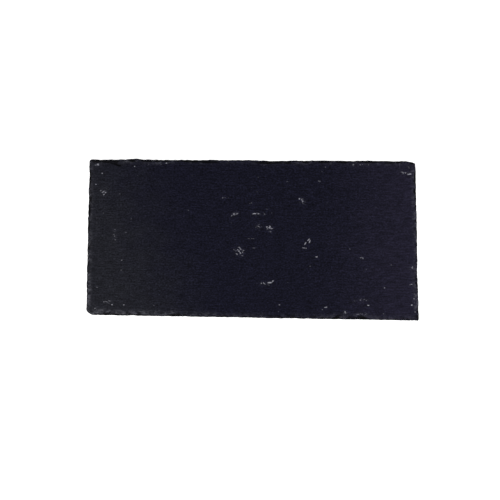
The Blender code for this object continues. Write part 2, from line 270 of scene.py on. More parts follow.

# Painted shadow: near-black shade in the breaks at the rim, by side: place along the side, how far in, half
# length, strength.
BREAK_SHADOWS = {
    NEAR: (
        (-130, 0.7, 2.7, 0.95), (-121, 0.4, 5.5, 0.8), (-106, 0.5, 8.5, 0.6), (-94, 0.4, 3, 0.6),
        (-71, 0.8, 3.4, 0.95), (-65, 0.6, 2.8, 0.95), (26, 0.5, 2.3, 0.8), (39, 0.3, 5.5, 0.85),
        (64, 0.3, 2.2, 0.8), (76, 0.9, 3.6, 1.0), (101, 1.5, 3, 1.0),
    ),
    RIGHT: ((44.5, 2.1, 2.7, 0.95), (57.5, 1.5, 6.3, 0.8)),
    FAR: (
        (-111, 2.0, 3.4, 0.9), (-97, 2.3, 4.8, 1.0), (-88, 2.1, 2.7, 0.9), (-80, 1.9, 3.8, 1.0),
        (-58, 2.1, 7.3, 0.85), (-40, 2.8, 10, 1.0), (15, 3.2, 13.5, 1.0), (31, 3.1, 3.6, 0.8),
        (48, 2.5, 3.4, 0.9), (64, 2.3, 6.3, 0.9), (82, 2.2, 7, 0.95), (106, 2.1, 11.5, 0.9),
        (124, 2.6, 5, 0.95), (133, 2.0, 3.4, 0.85), (145, 3.0, 1.7, 0.8),
    ),
    LEFT: ((52.5, 1.7, 7, 0.9), (24, 1.6, 6.3, 0.9), (9, 1.4, 5.8, 0.85)),
}
MILLIMETRE = 0.001
BREAK_HALF_WIDTH = 0.0010
FLECK_SEED = 7
FLECK_HALF_LENGTHS, FLECK_HALF_WIDTHS = (0.0006, 0.0011), (0.0005, 0.0007)
FLECK_TURN = math.radians(25)  # how far a fleck is turned at most from its patch
FLECK_LEAST = 0.6  # strength of a patch's weakest fleck, as a share of the patch's own
FLECK_SPIRAL = 2.4  # turn from each fleck of a patch to the next, in radians
DUST, DUST_MARGIN = 0.2, 0.0018  # strength of the dust round a patch, and how far past it this reaches
DUSTY_PATCH = 4  # least number of flecks in a patch with dust
MARK_CORE, MARK_FADE = 0.6, 1.35  # where a mark starts to fade and is gone, as shares of its size
MARK_PATCH = 0.006  # size of the squares in which marks are looked up
MARK_TRACE = 0.24  # a mark weaker than this needs no smaller faces
MARK_CUTS = 2  # how often the faces under a mark are divided

NEAREST_SIDE = 0.0005  # a place nearer to a side than this counts as this near
SAME_HEIGHT = 1e-7  # heights closer than this are the same
LEAST_LENGTH = 1e-7  # edges shorter than this are dissolved
SHARP_EDGE = math.radians(30)
FLAT = 2 * THICKNESS  # height at which the top face is cut before it gets its relief


class SlateShape(bpy.types.PropertyGroup):
    """Sizes of the slab's fine surface."""

    edge_step: FloatProperty(
        name="Edge step",
        description="Distance between points along the chipped edge",
        default=0.00058,
        min=0.0004,
        unit="LENGTH",
    )
    top_cell: FloatProperty(
        name="Top cell",
        description="Size of the faces on the riven top face",
        default=0.0014,
        min=0.0008,
        unit="LENGTH",
    )
    underside_cell: FloatProperty(
        name="Underside cell",
        description="Size of the faces on the underside",
        default=0.0032,
        min=0.002,
        unit="LENGTH",
    )
    ragged: FloatProperty(
        name="Ragged edge",
        description="How raggedly the thin sheets are broken off round the edge",
        default=1.0,
        min=0.0,
        max=1.5,
        subtype="FACTOR",
    )
    ridge_height: FloatProperty(
        name="Ridge height",
        description="Height of the fine ridges along the grain of the top face",
        default=0.00003,
        min=0.0,
        unit="LENGTH",
    )


class SlateFinish(bpy.types.PropertyGroup):
    """Colours of the stone, with the painted sheen at its ends and the near-black of painted shadow."""

    stone: FloatVectorProperty(
        name="Stone",
        description="Blue-black colour of the middle of the slab",
        default=(0.0081, 0.0081, 0.0181),
        subtype="COLOR",
        min=0.0,
        max=1.0,
    )
    # Painted sheen: the paler grey at the left end stands in for the left lamp's sheen on the stone.
    grey_sheen: FloatVectorProperty(
        name="Painted grey sheen",
        description="Greyer and paler colour at the left end",
        default=(0.0168, 0.0173, 0.0236),
        subtype="COLOR",
        min=0.0,
        max=1.0,
    )
    # Painted sheen: the paler, faintly purple tone at the right end stands in for the right lamp's sheen.
    violet_sheen: FloatVectorProperty(
        name="Painted violet sheen",
        description="Paler and faintly purple colour at the right end",
        default=(0.0158, 0.0141, 0.0289),
        subtype="COLOR",
        min=0.0,
        max=1.0,
    )
    # Painted shadow: this near-black stands in for the shade in the chips, along the rim and in the breaks.
    black: FloatVectorProperty(
        name="Painted shadow",
        description="Near-black colour of newly broken stone in the chips",
        default=(0.0009, 0.0009, 0.0015),
        subtype="COLOR",
        min=0.0,
        max=1.0,
    )
    chalk: FloatVectorProperty(
        name="Chalk",
        description="Pale dust of rubbed and scuffed stone",
        default=(0.45, 0.45, 0.52),
        subtype="COLOR",
        min=0.0,
        max=1.0,
    )
    roughness: FloatProperty(
        name="Roughness",
        description="How matt the clean stone is",
        default=0.60,
        min=0.0,
        max=1.0,
        subtype="FACTOR",
    )


class SlateStudio(bpy.types.PropertyGroup):
    """The floor, the light and the camera."""

    floor: FloatVectorProperty(
        name="Floor",
        description="Colour of the pale floor",
        default=(0.8, 0.8, 0.8),
        subtype="COLOR",
        min=0.0,
        max=1.0,
    )
    floor_glow: FloatProperty(
        name="Floor glow",
        description="Light that the floor gives off, like a light table",
        default=0.95,
        min=0.0,
    )
    key: FloatProperty(
        name="Key light",
        description="Strength of the soft light on the left",
        default=6.0,
        min=0.0,
        unit="POWER",
    )
    fill: FloatProperty(
        name="Fill light",
        description="Strength of the soft light on the right",
        default=6.0,
        min=0.0,
        unit="POWER",
    )
    distance: FloatProperty(
        name="Camera distance",
        description="From the camera to the point it looks at",
        default=1.0,
        min=0.3,
        unit="LENGTH",
    )
    elevation: FloatProperty(
        name="Camera elevation",
        description="Angle of the camera above the floor",
        default=math.radians(81.895),
        unit="ROTATION",
    )
    roll: FloatProperty(
        name="Camera roll",
        description="Turn of the camera about its own axis",
        default=math.radians(0.658),
        unit="ROTATION",
    )
    lens: FloatProperty(
        name="Lens",
        description="Focal length of the camera",
        default=79.05,
        min=10.0,
        unit="CAMERA",
    )


def wander(x, y, seed):
    """A smooth value from about -1 to 1, which changes over a distance of 1."""
    return noise.noise(Vector((x, y, seed)))


def unique(items):
    """The items without repeats, in the order they come in."""
    return list(dict.fromkeys(items))


def clamp(value, low=0.0, high=1.0):
    return min(high, max(low, value))


def between(stops, place):
    """The value at a place, from a row of (place, value) stops."""
    for (start, a), (end, b) in zip(stops, stops[1:]):
        if place < end:
            return a + (b - a) * clamp((place - start) / (end - start))
    return stops[-1][1]


@cache
def side_way(side):
    """The direction of a side, anticlockwise from above."""
    return (CORNERS[(side + 1) % 4].point - CORNERS[side].point).normalized()


@cache
def side_out(side):
    """The direction straight out of a side."""
    way = side_way(side)
    return Vector((way.y, -way.x))


@cache
def side_ends(side):
    """Where a side's straight stretch starts and ends, clear of its worn corners."""
    first, last = CORNERS[side], CORNERS[(side + 1) % 4]
    return first.point + side_way(side) * first.after, last.point - side_way(side) * last.before


def corner_point(number, share):
    """A point on a worn corner, at a share of the way round it."""
    corner = CORNERS[number]
    leave = side_ends((number - 1) % 4)[1] - corner.point
    join = side_ends(number)[0] - corner.point
    return corner.point + leave * (1 - share) ** CORNER_CURVE + join * share**CORNER_CURVE


@cache
def corner_tip(number):
    return corner_point(number, 0.5)


def along(point, side):
    """A point's distance along its side, measured from the middle of the slab."""
    return point.x if side in (NEAR, FAR) else point.y


def station(point, side):
    """A place on the outline, with the neighbouring sides that still move it and how much."""
    place = along(point, side)
    bends = []
    for other, number in (((side - 1) % 4, side), ((side + 1) % 4, (side + 1) % 4)):
        near = clamp(1 - abs(place - along(corner_tip(number), side)) / CORNER_REACH)
        if near > 0:
            bends.append((other, number, near**2))
    return Station(point, side, place, tuple(bends))


def outline(step):
    """Stations round the slab's outline, anticlockwise from above, on straight sides."""
    stations = []
    for side in (NEAR, RIGHT, FAR, LEFT):
        corner = CORNERS[side]
        count = max(LEAST_CORNER_POINTS, round((corner.before + corner.after) / step))
        for i in range(count):
            owner = (side - 1) % 4 if 2 * i < count else side
            stations.append(station(corner_point(side, i / count), owner))
        start, end = side_ends(side)
        count = round((end - start).length / step)
        stations += [station(start.lerp(end, i / count), side) for i in range(count)]
    return stations


def stand_out(side, place):
    """How far the dressed outline stands out of its straight side."""
    out = sum(DRESSING[side] * wander(place / pitch, side, pitch) for pitch in DRESSING_PITCHES)
    for swell in SWELLS[side]:
        across = (place - swell.along) / swell.half_width
        out += swell.height * max(0.0, 1 - across**2) ** 2
    return out


@cache
def chips_of(side):
    """All the chips of a side: the large ones, and small ones from end to end."""
    pick = random.Random(SMALL_CHIP_SEEDS[side])
    ends = sorted(along(end, side) for end in side_ends(side))
    chips = []
    place = ends[0]
    while place < ends[1]:
        half_width = pick.uniform(*SMALL_CHIP_HALF_WIDTHS)
        depth = pick.uniform(*SMALL_CHIP_DEPTHS)
        foot = pick.uniform(*SMALL_CHIP_FEET)
        chips.append(Chip(place, half_width, depth, foot))
        place += 2 * half_width * SMALL_CHIP_OVERLAP
    return LARGE_CHIPS[side] + tuple(chips)


def chip_reach(chip, place, share):
    """How far in a chip reaches at a place along the side and a share of the thickness.

    Seen from the side its rim is an arch upside down, lowest at its middle.
    """
    across = (place - chip.along) / chip.half_width
    up = (share - chip.foot) / (1 - chip.foot)
    if up <= 0 or abs(across) > 1:
        return 0.0
    return chip.depth * max(0.0, up**SCOOP - across**2)


def chipped(side, place, share):
    """How far in the deepest chip reaches."""
    return max(chip_reach(chip, place, share) for chip in chips_of(side))


def edge_shift(side, place, share):
    """How far the edge's face stands out of its straight side at a share of the thickness."""
    worn = ARRIS_LOSS * max(0.0, 1 - share / ARRIS_SHARE)
    return stand_out(side, place) - worn - BEVEL * share**2 - chipped(side, place, share)


def ring_points(stations, shift):
    """The points of a ring round the slab. shift(side, point) says how far it stands out of a side.

    Near a corner both of its sides move a point.
    """
    turned = {}
    for number in range(4):
        for other in ((number - 1) % 4, number):
            turned[other, number] = side_out(other) * shift(other, corner_tip(number))
    points = []
    for spot in stations:
        point = spot.point + side_out(spot.side) * shift(spot.side, spot.point)
        for other, number, weight in spot.bends:
            point = point + turned[other, number] * weight
        points.append(point)
    return points


def scar_distance(scar, x, y):
    """Distance outside a scar's rim, or minus the distance inside it, near enough."""
    dx, dy = x - scar.x, y - scar.y
    lengthwise = dx * math.cos(scar.turn) + dy * math.sin(scar.turn)
    crosswise = dy * math.cos(scar.turn) - dx * math.sin(scar.turn)
    radius = math.hypot(lengthwise / scar.half_length, crosswise / scar.half_width)
    slope = math.hypot(lengthwise / scar.half_length**2, crosswise / scar.half_width**2)
    if radius == 0:
        return -scar.half_width
    stray = SCAR_WANDER * wander(x / WANDER_LENGTH, y / WANDER_WIDTH, scar.x / WANDER_LENGTH)
    return (radius - 1) * radius / slope + stray


def near_scar(scar, x, y):
    """Whether a place is on a scar or close round it."""
    reach = max(scar.half_length, scar.half_width) + RIM_MARGIN
    return abs(x - scar.x) < reach and abs(y - scar.y) < reach


def scars_depth(scars, x, y):
    """How deep the deepest scar lies at a place."""
    deepest = 0.0
    for scar in scars:
        if near_scar(scar, x, y):
            inside = 0.5 - scar_distance(scar, x, y) / LEDGE_RUN
            deepest = max(deepest, scar.depth * clamp(inside))
    return deepest


def top_height(x, y):
    """Height of the split top face above the underside's plane."""
    swell = SWELL_HEIGHT * wander(x / SWELL_PITCH, y / SWELL_PITCH, SWELL_SEED)
    grain = GRAIN_HEIGHT * wander(x / GRAIN_LENGTH, y / GRAIN_WIDTH, GRAIN_SEED)
    wedge = THICKNESS_GAIN * x / LENGTH
    return THICKNESS + wedge + swell + grain - scars_depth(TOP_SCARS, x, y)


def fine_relief(x, y, ridge_height):
    """How far the fine steps and ridges lie below the top face."""
    level = STEP_COUNT * (0.5 + wander(x / STEP_LENGTH, y / STEP_WIDTH, STEP_SEED))
    step = math.floor(level) + clamp((level % 1 - 1 + STEP_RISER) / STEP_RISER)
    ridge = 0.5 - 0.5 * wander(x / RIDGE_LENGTH, y / RIDGE_WIDTH, RIDGE_SEED)
    return STEP_HEIGHT * (STEP_COUNT - clamp(step, 0, STEP_COUNT)) + ridge_height * ridge


def underside_height(x, y):
    """Height of the underside: flat to rest on, with scars and slight hollows."""
    hollow = UNDERSIDE_HOLLOW * wander(x / UNDERSIDE_PITCH, y / UNDERSIDE_PITCH, UNDERSIDE_SEED)
    return max(0.0, hollow) + scars_depth(UNDERSIDE_SCARS, x, y)


def sheet_joint(number, point):
    """The share of the thickness at which a thin sheet starts."""
    if number in (0, SHEETS):
        return number / SHEETS
    wave = wander(point.x / SHEET_WAVE_LENGTH, point.y / SHEET_WAVE_LENGTH, number)
    return (number + SHEET_WAVE * wave) / SHEETS


def sheet_shares(number, point):
    """The shares of the thickness between which a thin sheet's face stands."""
    low = sheet_joint(number, point) + (SHEET_GAP / 2 if number > 0 else 0)
    high = sheet_joint(number + 1, point) - (SHEET_GAP / 2 if number < SHEETS - 1 else 0)
    return low, high


def sheet_recess(number, point, ragged):
    """How far a thin sheet's face is broken back at a point."""
    jag = wander(point.x / JAGGED_PITCH, point.y / JAGGED_PITCH, JAGGED_SEED)
    back = JAGGED_DEPTH * jag
    for pitch, depth in RAGGED_PITCHES:
        back += depth * (RAGGED_BACK + wander(point.x / pitch, point.y / pitch, number / pitch))
    torn = wander(point.x / TORN_PITCH, point.y / TORN_PITCH, number + TORN_PITCH) - TORN_FROM
    return ragged * (back + TORN_DEPTH * clamp(torn / TORN_RAMP))


def sheet_shift(number, top, ragged):
    """The shift of the ring at the foot of a thin sheet, or at its top."""

    def shift(side, point):
        low, high = sheet_shares(number, point)
        share = high if top else low
        felt = share + ((low + high) / 2 - share) * STEPPING
        return edge_shift(side, along(point, side), felt) - sheet_recess(number, point, ragged)

    return shift


def border_shift(edge, distance, reach):
    """The shift of a ring that lies in from the edge's ring, which it follows less and less."""

    def shift(side, point):
        settled = distance / reach
        return edge(side, point) * (1 - settled) - MEAN_LEAN * settled - distance

    return shift


def ring_edges(bm, ring):
    return [bm.edges.get((start, end)) for start, end in zip(ring, ring[1:] + ring[:1])]


def next_ring(bm, ring):
    """Extrudes a ring of vertices into a new one, which is returned in the same order."""
    made = bmesh.ops.extrude_edge_only(bm, edges=ring_edges(bm, ring))["geom"]
    fresh = {item for item in made if isinstance(item, bmesh.types.BMVert)}
    return [
        next(edge.other_vert(vert) for edge in vert.link_edges if edge.other_vert(vert) in fresh)
        for vert in ring
    ]


def place_sheet_ring(bm, ring, stations, number, top, ragged):
    """Puts a ring at the foot or the top of a thin sheet, and notes how deep and how chipped it is."""
    inward, broken = bm.verts.layers.float["inward"], bm.verts.layers.float["broken"]
    points = ring_points(stations, sheet_shift(number, top, ragged))
    for vert, spot, point in zip(ring, stations, points):
        share = sheet_shares(number, spot.point)[1 if top else 0]
        low = underside_height(point.x, point.y)
        vert.co = (point.x, point.y, low + share * (top_height(point.x, point.y) - low))
        vert[inward] = (share - 1) * THICKNESS
        vert[broken] = chipped(spot.side, spot.along, share)


def place_border_ring(bm, ring, stations, edge, distance, reach, height):
    """Puts a ring on a flat face, in from the edge."""
    inward = bm.verts.layers.float["inward"]
    points = ring_points(stations, border_shift(edge, distance, reach))
    for vert, point in zip(ring, points):
        vert.co = (point.x, point.y, height)
        vert[inward] = distance if height else -THICKNESS - distance


def edge_faces(bm, stations, ragged):
    """The chipped edge as a pair of rings for each thin sheet, from the underside up."""
    ring = first = bmesh.ops.create_circle(bm, segments=len(stations), radius=LENGTH / 2)["verts"]
    place_sheet_ring(bm, ring, stations, 0, False, ragged)
    for number in range(SHEETS):
        if number > 0:
            ring = next_ring(bm, ring)
            place_sheet_ring(bm, ring, stations, number, False, ragged)
        ring = next_ring(bm, ring)
        place_sheet_ring(bm, ring, stations, number, True, ragged)
    return first, ring


def close_flat(bm, ring, stations, edge, border, height, cell, scars):
    """Closes a ring with a flat face, cut into cells and along the scars' rims."""
    for distance in border:
        ring = next_ring(bm, ring)
        place_border_ring(bm, ring, stations, edge, distance, border[-1], height)
    face = bmesh.ops.edgeloop_fill(bm, edges=ring_edges(bm, ring))["faces"][0]
    cut_grid(bm, face, cell)
    for scar in scars:
        for level in (-LEDGE_RUN / 2, LEDGE_RUN / 2):
            cut_rim(bm, flat_faces(bm, height, scar), scar, level)


def cut_straight(bm, faces, normal, offset):
    """Cuts faces along one upright plane, and returns all of them."""
    verts = unique(vert for face in faces for vert in face.verts)
    edges = unique(edge for face in faces for edge in face.edges)
    done = bmesh.ops.bisect_plane(
        bm,
        geom=[*verts, *edges, *faces],
        dist=GRID_SNAP,
        plane_co=normal * offset,
        plane_no=normal,
    )
    return [item for item in done["geom"] if isinstance(item, bmesh.types.BMFace)]


def cut_strips(bm, faces, normal, reach, cell):
    """Cuts faces into strips, one cut after another, and returns all the strips."""
    behind, ahead = [], faces
    lines = int(reach / 2 / cell)
    for i in range(-lines, lines + 1):
        faces = cut_straight(bm, ahead, normal, i * cell)
        beyond = [face.calc_center_bounds().dot(normal) > i * cell for face in faces]
        behind += [face for face, far in zip(faces, beyond) if not far]
        ahead = [face for face, far in zip(faces, beyond) if far]
    return behind + ahead


def cut_grid(bm, face, cell):
    """Cuts a flat face into square cells."""
    strips = cut_strips(bm, [face], Vector((1, 0, 0)), LENGTH, cell)
    cut_strips(bm, strips, Vector((0, 1, 0)), RIGHT_DEPTH, cell)


def cut_rim(bm, faces, scar, level):
    """Cuts faces along the line that lies a given distance outside a scar's rim."""
    verts = unique(vert for face in faces for vert in face.verts)
    place = {vert: scar_distance(scar, vert.co.x, vert.co.y) - level for vert in verts}
    marked = []
    for edge in unique(edge for face in faces for edge in face.edges):
        start, end = edge.verts
        a, b = place[start], place[end]
        if a * b >= 0:
            continue
        share = a / (a - b)
        length = edge.calc_length()
        if share * length < RIM_SNAP:
            marked.append(start)
        elif (1 - share) * length < RIM_SNAP:
            marked.append(end)
        else:
            marked.append(bmesh.utils.edge_split(edge, start, share)[1])
    bmesh.ops.connect_verts(bm, verts=unique(marked))


def flat_faces(bm, height, spot):
    """The faces near a spot that lie wholly at one height."""
    return [
        face
        for face in bm.faces
        if near_scar(spot, face.verts[0].co.x, face.verts[0].co.y)
        and all(abs(vert.co.z - height) < SAME_HEIGHT for vert in face.verts)
    ]


def laid(x, y, half_length, half_width, turn, strength):
    """A mark from a row in millimetres and degrees."""
    sizes = [size * MILLIMETRE for size in (x, y, half_length, half_width)]
    return Mark(*sizes, math.radians(turn), strength)


def fleck(pick, x, y, turn, strength):
    """One small fleck of crushed stone."""
    half_length = pick.uniform(*FLECK_HALF_LENGTHS)
    half_width = pick.uniform(*FLECK_HALF_WIDTHS)
    return Mark(x, y, half_length, half_width, turn + pick.uniform(-FLECK_TURN, FLECK_TURN), strength)


def strewn(pick, patch, count):
    """The flecks of a scuffed patch, in a spiral out from its strongest, which is in its middle."""
    flecks = []
    for number in range(count):
        reach = math.sqrt(number / count)
        angle = number * FLECK_SPIRAL + pick.random()
        lengthwise = reach * math.cos(angle) * patch.half_length
        crosswise = reach * math.sin(angle) * patch.half_width
        x = patch.x + lengthwise * math.cos(patch.turn) - crosswise * math.sin(patch.turn)
        y = patch.y + lengthwise * math.sin(patch.turn) + crosswise * math.cos(patch.turn)
        share = pick.uniform(FLECK_LEAST, 1) if number else 1
        flecks.append(fleck(pick, x, y, patch.turn, patch.strength * share))
    return flecks


def scuffs():
    """Every pale mark on the top face."""
    pick = random.Random(FLECK_SEED)
    found = [laid(*row) for row in SCRATCHES]
    for x, y, strength in LONE_FLECKS:
        found.append(fleck(pick, x * MILLIMETRE, y * MILLIMETRE, 0.0, strength))
    for *sizes, count, strength in SCUFFED_PATCHES:
        patch = laid(*sizes, strength)
        found += strewn(pick, patch, count)
        if count >= DUSTY_PATCH:
            length, width = patch.half_length + DUST_MARGIN, patch.half_width + DUST_MARGIN
            found.append(patch._replace(half_length=length, half_width=width, strength=DUST))
    return found


def break_shadows():
    """Every place of painted shadow: along the flake scar's rim by the far left corner, and in the breaks
    along the rim.
    """
    found = [laid(*row) for row in SCAR_RIM_SHADOW]
    for side, rows in BREAK_SHADOWS.items():
        start, way = CORNERS[side].point, side_way(side)
        turn = math.atan2(way.y, way.x)
        for place, inset, half_length, strength in rows:
            run = (place * MILLIMETRE - along(start, side)) / along(way, side)
            middle = start + way * run - side_out(side) * inset * MILLIMETRE
            length = half_length * MILLIMETRE
            found.append(Mark(middle.x, middle.y, length, BREAK_HALF_WIDTH, turn, strength))
    return found


# The fresh marks are painted shadow in the breaks and along the flake scar's rim.
MARKS = {"scuff": scuffs(), "fresh": break_shadows()}


def mark_strength(mark, x, y):
    """How strongly a mark shows at a place: its own strength at its middle, and nothing well outside."""
    dx, dy = x - mark.x, y - mark.y
    lengthwise = dx * math.cos(mark.turn) + dy * math.sin(mark.turn)
    crosswise = dy * math.cos(mark.turn) - dx * math.sin(mark.turn)
    radius = math.hypot(lengthwise / mark.half_length, crosswise / mark.half_width)
    return mark.strength * clamp((MARK_FADE - radius) / (MARK_FADE - MARK_CORE))


@cache
def marks_near(kind, column, row):
    """The marks that reach a square patch of the slab."""
    found = []
    for mark in MARKS[kind]:
        reach = MARK_PATCH / 2 + MARK_FADE * max(mark.half_length, mark.half_width)
        if max(abs(mark.x - column * MARK_PATCH), abs(mark.y - row * MARK_PATCH)) < reach:
            found.append(mark)
    return found


def marked(kind, x, y):
    """How strongly a place is marked."""
    near = marks_near(kind, round(x / MARK_PATCH), round(y / MARK_PATCH))
    return max((mark_strength(mark, x, y) for mark in near), default=0.0)


def divide_under_marks(bm):
    """Gives the top face smaller faces where a mark needs them."""
    edges = []
    for face in bm.faces:
        if all(abs(vert.co.z - FLAT) < SAME_HEIGHT for vert in face.verts):
            spots = [vert.co for vert in face.verts] + [face.calc_center_median()]
            if any(marked(kind, spot.x, spot.y) > MARK_TRACE for kind in MARKS for spot in spots):
                edges += face.edges
    bmesh.ops.subdivide_edges(bm, edges=unique(edges), cuts=MARK_CUTS, use_grid_fill=True)


def chalk_and_highlight_at(x, y):
    """How pale the rubbed band would be at a place, from the sides it is nearest to: chalky wear and
    painted highlight.
    """
    weighed = total = 0.0
    for side, stops in CHALK_AND_HIGHLIGHT_SIDES.items():
        from_side = (CORNERS[side].point - Vector((x, y))).dot(side_out(side))
        weight = 1 / max(from_side, NEAREST_SIDE) ** 2
        weighed += weight * between(stops, along(Vector((x, y)), side))
        total += weight
    return weighed / total


def mark_surface(bm):
    """Notes on each vertex of the top and the edge how pale its rubbed band is, from chalky wear and
    painted highlight, how scuffed it is, and how much painted shadow of the breaks it takes.
    """
    chalk, scuff = bm.verts.layers.float["chalk"], bm.verts.layers.float["scuff"]
    fresh, inward = bm.verts.layers.float["fresh"], bm.verts.layers.float["inward"]
    for vert in bm.verts:
        x, y = vert.co.xy
        if vert[inward] > -THICKNESS:
            # The chalk attribute holds chalky wear and painted highlight on the rubbed band.
            vert[chalk] = chalk_and_highlight_at(x, y)
            # The fresh attribute holds the painted shadow of the breaks.
            vert[fresh] = marked("fresh", x, y)
        if vert[inward] > 0:
            vert[scuff] = marked("scuff", x, y)


def raise_relief(bm, ridge_height):
    """Lifts the flat faces to the real heights of the top and the underside."""
    inward = bm.verts.layers.float["inward"]
    for vert in bm.verts:
        x, y = vert.co.xy
        if abs(vert.co.z - FLAT) < SAME_HEIGHT:
            wear = ARRIS_WEAR * clamp(1 - vert[inward] / ARRIS_WEAR_RUN) ** 2
            vert.co.z = top_height(x, y) - fine_relief(x, y, ridge_height) - wear
        elif vert.co.z == 0 and vert[inward] < -THICKNESS:
            vert.co.z = underside_height(x, y)


def fit_to_cad(bm):
    """Centres the stone on the CAD slab, and keeps every point inside its box."""
    for axis in (0, 1):
        places = [vert.co[axis] for vert in bm.verts]
        middle = (min(places) + max(places)) / 2 - (cad_low[axis] + cad_high[axis]) / 2
        for vert in bm.verts:
            vert.co[axis] = clamp(vert.co[axis] - middle, cad_low[axis], cad_high[axis])
    for vert in bm.verts:
        vert.co.z = clamp(vert.co.z, cad_low.z, cad_high.z)


def slab_mesh(shape):
    """The whole stone as one closed mesh."""
    bm = bmesh.new()
    for name in ("inward", "broken", "chalk", "scuff", "fresh"):
        bm.verts.layers.float.new(name)
    stations = outline(shape.edge_step)
    lowest, arris = edge_faces(bm, stations, shape.ragged)
    foot = sheet_shift(0, False, shape.ragged)
    head = sheet_shift(SHEETS - 1, True, shape.ragged)
    close_flat(bm, arris, stations, head, BORDER, FLAT, shape.top_cell, TOP_SCARS)
    close_flat(bm, lowest, stations, foot, UNDERSIDE_BORDER, 0.0, shape.underside_cell, UNDERSIDE_SCARS)
    divide_under_marks(bm)
    bmesh.ops.dissolve_degenerate(bm, dist=LEAST_LENGTH, edges=bm.edges[:])
    bmesh.ops.triangulate(bm, faces=bm.faces[:])
    raise_relief(bm, shape.ridge_height)
    mark_surface(bm)
    fit_to_cad(bm)
    bmesh.ops.recalc_face_normals(bm, faces=bm.faces[:])
    mesh = bpy.data.meshes.new("slate")
    bm.to_mesh(mesh)
    bm.free()
    mesh.shade_smooth()
    mesh.set_sharp_from_angle(angle=SHARP_EDGE)
    return mesh


MIX_SHARE, MIX_FIRST, MIX_SECOND, MIX_COLOUR = 0, 6, 7, 2  # sockets of a Mix node for colours


class Signal:
    """A socket's value. Sums of signals and numbers add Math nodes to the material."""

    def __init__(self, bench, socket):
        self.bench = bench
        self.socket = socket

    def maths(self, operation, first, second):
        return self.bench.node("ShaderNodeMath", {"operation": operation}, {0: first, 1: second})

    def __add__(self, other):
        return self.maths("ADD", self, other)

    def __radd__(self, other):
        return self.maths("ADD", other, self)

    def __sub__(self, other):
        return self.maths("SUBTRACT", self, other)

    def __rsub__(self, other):
        return self.maths("SUBTRACT", other, self)

    def __mul__(self, other):
        return self.maths("MULTIPLY", self, other)

    def __rmul__(self, other):
        return self.maths("MULTIPLY", other, self)

    def __pow__(self, other):
        return self.maths("POWER", self, other)


class Bench:
    """Adds nodes to a material or a world."""

    def __init__(self, tree):
        self.tree = tree

    def node(self, kind, settings=None, values=None, output=0):
        """Adds one node: its settings come first, then the values or links of its sockets."""
        made = self.tree.nodes.new(kind)
        for name, value in (settings or {}).items():
            setattr(made, name, value)
        for name, value in (values or {}).items():
            self.feed(made.inputs[name], value)
        return Signal(self, made.outputs[output])

    def feed(self, socket, value):
        """Gives a socket a value, or links it."""
        if isinstance(value, Signal):
            self.tree.links.new(value.socket, socket)
        else:
            socket.default_value = value

    def place(self):
        """A point of the piece, in metres."""
        return self.node("ShaderNodeTexCoord", output="Object")

    def noted(self, name):
        """A number that the mesh keeps on its vertices."""
        return self.node("ShaderNodeAttribute", {"attribute_name": name}, output="Fac")

    def lumps(self, kind):
        """Noise from 0 to 1."""
        seed = (kind.seed, kind.seed, kind.seed)
        shrunk = self.node("ShaderNodeVectorMath", {"operation": "DIVIDE"}, {0: self.place(), 1: kind.size})
        moved = self.node("ShaderNodeVectorMath", {"operation": "ADD"}, {0: shrunk, 1: seed})
        return self.node(
            "ShaderNodeTexNoise",
            {"noise_dimensions": "3D"},
            {"Vector": moved, "Scale": 1.0, "Detail": kind.detail, "Roughness": kind.roughness},
        )

    def rise(self, value, start, end):
        """A smooth mask that goes from 0 at start to 1 at end."""
        return self.node(
            "ShaderNodeMapRange",
            {"interpolation_type": "SMOOTHSTEP"},
            {"Value": value, "From Min": start, "From Max": end},
        )

    def band(self, value, rising, fading):
        """A mask that comes in over one range of a value and fades out over the next."""
        return self.rise(value, *rising) * (1 - self.rise(value, *fading))

    def blend(self, first, second, share):
        """One colour turned into another by a mask."""
        return self.node(
            "ShaderNodeMix",
            {"data_type": "RGBA"},
            {MIX_SHARE: share, MIX_FIRST: first, MIX_SECOND: second},
            output=MIX_COLOUR,
        )

    def toned(self, colour, tone):
        """A colour made lighter or darker by a number."""
        return self.node("ShaderNodeVectorMath", {"operation": "SCALE"}, {0: colour, "Scale": tone})


def opaque(colour):
    return (*colour, 1.0)


# Noise in the stone: size of its lumps along X, Y and Z, seed, detail and roughness.
PATCHES = Lumps((0.016, 0.012, 0.02), 3.1, 3.0, 0.5)
STREAKS = Lumps((0.0090, 0.0013, 0.004), 1.7, 3.0, 0.6)
MOTTLE = Lumps((0.010, 0.005, 0.01), 6.2, 2.0, 0.5)
SPECKLE = Lumps((0.0016, 0.0010, 0.0012), 12.6, 1.5, 0.6)
CRUSHING = Lumps((0.0014, 0.0010, 0.0014), 9.3, 4.0, 0.65)
POWDER = Lumps((0.0022, 0.0014, 0.002), 2.3, 3.0, 0.5)
RIM_PATCHES = Lumps((0.0050, 0.0050, 0.02), 8.8, 3.0, 0.6)
LAYERS = Lumps((0.006, 0.006, 0.00035), 4.4, 2.0, 0.5)
RUBBING = Lumps((0.0026, 0.0016, 0.002), 7.9, 4.0, 0.65)
PITTING = Lumps((0.0011, 0.0006, 0.0008), 15.5, 3.0, 0.7)
FURROWS = Lumps((0.0075, 0.0011, 0.003), 1.7, 3.0, 0.6)

# Painted sheen: where the stone is painted paler, as the lamps' sheen makes it: grey towards the left end,
# and violet towards the right.
# The first value of each is where it starts, and the second where it is palest.
GREY_SHEEN_REACH = (0.044, 0.154)
VIOLET_SHEEN_REACH = (0.052, 0.150)
GREY_SHEEN_SLANT, VIOLET_SHEEN_SLANT = 0.38, -0.10  # how much these places lean, in X for each Y
PATCHY = 0.055  # how far the patches of the painted sheen stray

# How much the noises lighten and darken the stone, and how much less speckled its ends are under the
# painted sheen.
STREAK_TONE, MOTTLE_TONE, SPECKLE_TONE = 1.1, 0.2, 2.15
GREY_SHEEN_CALM, VIOLET_SHEEN_CALM = 0.7, 1.2

